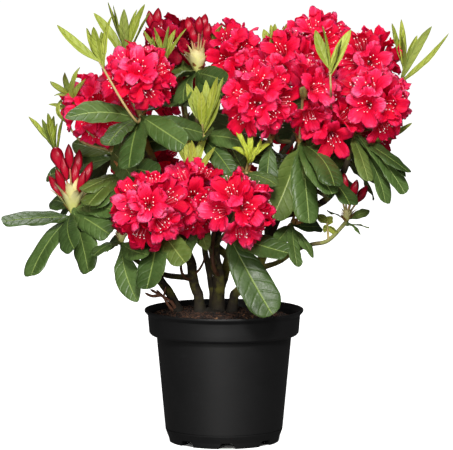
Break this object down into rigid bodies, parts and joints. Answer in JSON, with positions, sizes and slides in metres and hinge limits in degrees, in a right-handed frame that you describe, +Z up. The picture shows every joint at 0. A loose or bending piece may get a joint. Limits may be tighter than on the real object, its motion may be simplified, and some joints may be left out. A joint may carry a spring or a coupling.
{
  "type": "potted rhododendron",
  "caption": "Compact evergreen rhododendron shrub in full crimson bloom, standing in a round black nursery pot of soil.",
  "frame": {"origin": "middle of the pot's underside, on the ground, under the middle of the plant's box", "axes": "+Z up; -Y is the front, the side with the low flower heads; +X to the right seen from the front"},
  "size_m": [0.639, 0.4839, 0.64],
  "materials": {
    "pot": "satin black moulded plastic",
    "soil": "dark peaty compost with light wood chips",
    "bark": "rough grey-brown bark with a mossy tinge",
    "blossom": "soft crimson petals among leaves",
    "leaf": "leathery green leaves, lightly glossy"
  },
  "bodies": {
    "root": {"pot": "pot", "soil": "soil", "trunk": "bark", "stem_outer_left": "bark", "stem_left": "bark", "stem_thin": "bark", "stem_middle": "bark", "stem_right": "bark", "stem_rear": "bark", "bough_low_left": "bark", "bough_left": "bark", "bough_upper_left": "bark", "bough_low_right": "bark", "bough_right": "bark", "bough_centre_right": "bark", "bough_top_centre": "bark", "bough_top_right": "bark", "bough_top_left": "bark", "bough_rear_left": "bark", "bough_rear_right": "bark", "truss_left": "blossom", "truss_far_left": "blossom", "leaves_left": "leaf", "buds_far_left": "blossom", "buds_low_left": "blossom", "truss_front_left": "blossom", "truss_front_middle": "blossom", "truss_front_right": "blossom", "buds_top": "blossom", "leaves_centre": "leaf", "leaves_centre_right": "leaf", "truss_centre": "blossom", "truss_centre_right": "blossom", "truss_right_front": "blossom", "truss_top_middle": "blossom", "truss_top": "blossom", "truss_right": "blossom", "truss_far_right": "blossom", "buds_right": "blossom", "leaves_right": "leaf", "truss_top_centre": "blossom", "truss_top_left": "blossom", "truss_rear_left": "blossom", "truss_rear_low_left": "blossom", "leaves_rear_left": "leaf", "truss_rear_top_left": "blossom", "truss_rear_top_right": "blossom", "truss_rear_middle": "blossom", "truss_rear_right": "blossom", "truss_rear_low_right": "blossom", "truss_rear_far_right": "blossom"}
  },
  "joints": []
}
